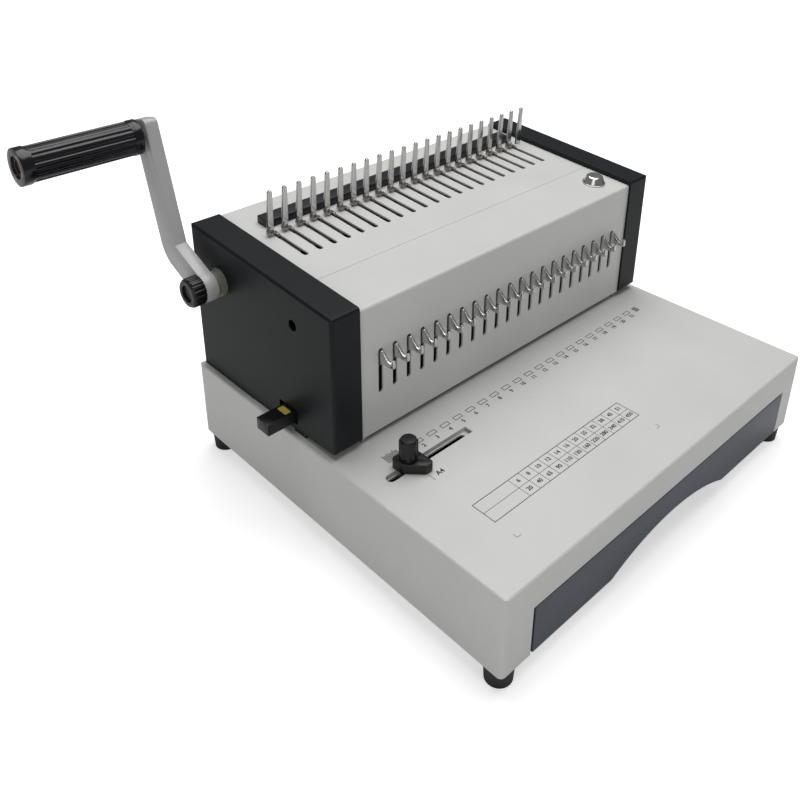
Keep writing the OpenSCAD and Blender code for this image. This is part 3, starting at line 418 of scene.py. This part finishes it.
def softened(name, material, body, width, bevel_from=35):
    """A copy of a node with its sharp edges rounded, standing for that node."""
    bm = bmesh.new()
    bm.from_mesh(nodes[name].data)
    bmesh.ops.remove_doubles(bm, verts=bm.verts, dist=0.002 * MM)
    bmesh.ops.dissolve_limit(bm, angle_limit=radians(0.5), verts=bm.verts, edges=bm.edges)
    sharp = [e for e in bm.edges
             if len(e.link_faces) == 2 and e.calc_face_angle() > radians(bevel_from)]
    bmesh.ops.bevel(bm, geom=sharp, offset=width, offset_type="OFFSET", segments=2,
                    profile=0.5, affect="EDGES", clamp_overlap=True)
    mesh = bpy.data.meshes.new(name + "_rounded")
    bm.to_mesh(mesh)
    bm.free()
    for face in mesh.polygons:
        face.use_smooth = True
    mesh.set_sharp_from_angle(angle=radians(32))
    piece = bpy.data.objects.new(name + "_rounded", mesh)
    scene.collection.objects.link(piece)
    mesh.materials.append(material)
    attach(piece, body)
    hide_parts(name)


slate_abs = coated("slate_abs", (0.048, 0.059, 0.083), 0.4, 1500, 0.00005, drift=0.03,
                   specular=0.35)
softened("drawer_front", slate_abs, "chip_drawer", 0.5 * MM)
tray_abs = coated("tray_abs", (0.014, 0.016, 0.02), 0.5, 1400, 0.00006, drift=0.08)
dress(tray_abs, "waste_tray")


# ---- End caps ----
# Injection-moulded shells in near-black ABS with a fine sand texture, snapped over the ends
# of the head. The left one has the shaft's collar, the lever window and a round hole.

cap_abs = coated("cap_abs", (0.0045, 0.006, 0.0078), 0.48, 1700, 0.00008, drift=0.08,
                 spread=0.2, specular=0.24)
dress(cap_abs, "left_end_cap", "right_end_cap")


# ---- Frames, die and fasteners ----
# Zinc-plated frames, slide plates and screws, and ground tool steel for the die, stripper,
# punches, shaft and gears, which show through the slots and when the drawer is out.

def brushed_metal_group():
    """Drawn streaks along X in colour, gloss and height."""
    group, given, result = new_group(
        "brushed_metal",
        [("Color", "NodeSocketColor", (0.6, 0.6, 0.6, 1)),
         ("Streak Scale", "NodeSocketFloat", 600.0),
         ("Roughness", "NodeSocketFloat", 0.3)],
        [("Color", "NodeSocketColor"), ("Roughness", "NodeSocketFloat"),
         ("Height", "NodeSocketFloat")])
    place = add(group, "ShaderNodeTexCoord")
    stretch = add(group, "ShaderNodeMapping")
    stretch.inputs["Scale"].default_value = (0.06, 1.0, 1.0)
    link(group, place.outputs["Object"], stretch.inputs["Vector"])
    streaks = add(group, "ShaderNodeTexNoise", Detail=3.0)
    link(group, stretch.outputs["Vector"], streaks.inputs["Vector"])
    link(group, given.outputs["Streak Scale"], streaks.inputs["Scale"])
    shade = add(group, "ShaderNodeMapRange")
    shade.inputs["To Min"].default_value = 0.86
    shade.inputs["To Max"].default_value = 1.1
    link(group, streaks.outputs["Fac"], shade.inputs["Value"])
    tint = add(group, "ShaderNodeVectorMath", operation="SCALE")
    link(group, given.outputs["Color"], tint.inputs[0])
    link(group, shade.outputs["Result"], tint.inputs["Scale"])
    link(group, tint.outputs["Vector"], result.inputs["Color"])
    gloss = add(group, "ShaderNodeMath", operation="MULTIPLY_ADD")
    link(group, streaks.outputs["Fac"], gloss.inputs[0])
    gloss.inputs[1].default_value = 0.16
    link(group, given.outputs["Roughness"], gloss.inputs[2])
    link(group, gloss.outputs[0], result.inputs["Roughness"])
    link(group, streaks.outputs["Fac"], result.inputs["Height"])
    return group


brushed_metal = brushed_metal_group()


def bare_metal(name, color, roughness, streak_scale, depth):
    """A bare or plated metal made with the brushed streaks."""
    material, tree, shader = node_material(name)
    streaks = add(tree, "ShaderNodeGroup", node_tree=brushed_metal)
    streaks.inputs["Color"].default_value = (*color, 1)
    streaks.inputs["Streak Scale"].default_value = streak_scale
    streaks.inputs["Roughness"].default_value = roughness
    bump = add(tree, "ShaderNodeBump", Strength=0.4, Distance=depth)
    link(tree, streaks.outputs["Color"], shader.inputs["Base Color"])
    link(tree, streaks.outputs["Roughness"], shader.inputs["Roughness"])
    link(tree, streaks.outputs["Height"], bump.inputs["Height"])
    link(tree, bump.outputs["Normal"], shader.inputs["Normal"])
    shader.inputs["Metallic"].default_value = 1.0
    return material


zinc_plate = bare_metal("zinc_plate", (0.42, 0.43, 0.44), 0.36, 500, 0.00003)
dress(zinc_plate, "side_frames", "slide_plates", "hook_bar", "back_stop", "guide_nut",
      "return_springs", "case_screws")
ground_steel = bare_metal("ground_steel", (0.5, 0.51, 0.52), 0.26, 1400, 0.00002)
dress(ground_steel, "die_plate", "stripper_plate", "guide_posts", "main_shaft",
      "drive_pinions", "punches", "drive_pins", "grip_spindle")


# ---- Comb fingers, rest bar and hooks ----
# Nickel-plated fingers stamped from one strip, with rounded edges, in front of a black
# moulded bar. The plated hooks slide in the slots and pull the comb's rings open.

polished_nickel = bare_metal("polished_nickel", (0.62, 0.62, 0.61), 0.12, 700, 0.00002)
softened("comb_fence", polished_nickel, "machine_body", 0.35 * MM)
bar_plastic = coated("bar_plastic", (0.006, 0.0072, 0.011), 0.4, 1500, 0.00005, drift=0.1,
                     specular=0.35)
softened("comb_rest_bar", bar_plastic, "machine_body", 0.5 * MM)
hook_plate = bare_metal("hook_plate", (0.3, 0.28, 0.26), 0.3, 900, 0.00003)
softened("opener_hooks", hook_plate, "comb_opener", 0.25 * MM)


# ---- Punch bar and selectors ----
# A cast bar carries the punches behind the cover. Each punch has a stamped, nickel-plated
# selector whose bent lip stands out of its slot in the front cover.

cast_alloy = coated("cast_alloy", (0.34, 0.345, 0.345), 0.42, 1300, 0.00008, drift=0.05)
dress(cast_alloy, "punch_bar")
for number in range(1, hole_count + 1):
    softened(f"punch_selector_{number:02d}", polished_nickel, f"selector_{number:02d}",
             0.35 * MM)


# ---- Crank ----
# A painted die-cast arm on the square end of the shaft, a grey-beige collar where the shaft
# leaves the cap, a knurled black lock knob, and a fluted grip that turns on its spindle.

arm_paint = coated("arm_paint", (0.47, 0.475, 0.47), 0.33, 900, 0.00008, drift=0.04, coat=0.1)
softened("crank_arm", arm_paint, "crank", 1.4 * MM)
collar_acetal = coated("collar_acetal", (0.2, 0.19, 0.16), 0.4, 1200, 0.00004, drift=0.06)
dress(collar_acetal, "shaft_bushings", "shaft_collar")
gloss_black = coated("gloss_black", (0.004, 0.0044, 0.0068), 0.2, 900, 0.00003, drift=0.1,
                     spread=0.1, specular=0.5)
softened("grip", gloss_black, "hand_grip", 0.5 * MM, bevel_from=30)
satin_black = coated("satin_black", (0.006, 0.0065, 0.008), 0.36, 1400, 0.00005, drift=0.1,
                     specular=0.4)
softened("lock_knob", satin_black, "crank_lock_knob", 0.4 * MM,
         bevel_from=30)
brown_plug = coated("brown_plug", (0.035, 0.016, 0.01), 0.5, 1200, 0.00006, drift=0.12)
dress(brown_plug, "grip_plug")


# ---- Edge guide, margin lever and dial ----
# Black moulded guide and knob on the cabinet, a black lever with a small yellow label beside
# the left cap, and a turned, plated dial knob on the head's front strip.

softened("edge_guide", satin_black, "paper_guide", 0.7 * MM)
softened("guide_knob", satin_black, "guide_clamp", 0.6 * MM, bevel_from=30)
softened("margin_lever", satin_black, "margin_control", 0.8 * MM)
label_film = coated("label_film", (0.62, 0.5, 0.09), 0.45, 1200, 0.00002, drift=0.05)
label_centre = (-194.2 * MM, 50.2 * MM)
label_size = (5.6 * MM, 10.4 * MM, 0.2 * MM)
label_sunk = 0.04 * MM
label_corner = 1.0 * MM
label_mesh = bmesh.new()
bmesh.ops.create_cube(label_mesh, size=1.0, matrix=Matrix.Translation(
    (*label_centre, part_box("margin_lever")[1].z - label_sunk))
    @ Matrix.Diagonal((*label_size, 1)))
upright = [e for e in label_mesh.edges
           if abs(e.verts[0].co.z - e.verts[1].co.z) > label_size[2] / 2]
bmesh.ops.bevel(label_mesh, geom=upright, offset=label_corner, segments=4, profile=0.5,
                affect="EDGES")
label_shape = bpy.data.meshes.new("lever_label")
label_mesh.to_mesh(label_shape)
label_mesh.free()
lever_label = bpy.data.objects.new("lever_label", label_shape)
scene.collection.objects.link(lever_label)
label_shape.materials.append(label_film)
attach(lever_label, "margin_control")
softened("dial_knob", polished_nickel, "comb_dial", 0.25 * MM,
         bevel_from=25)
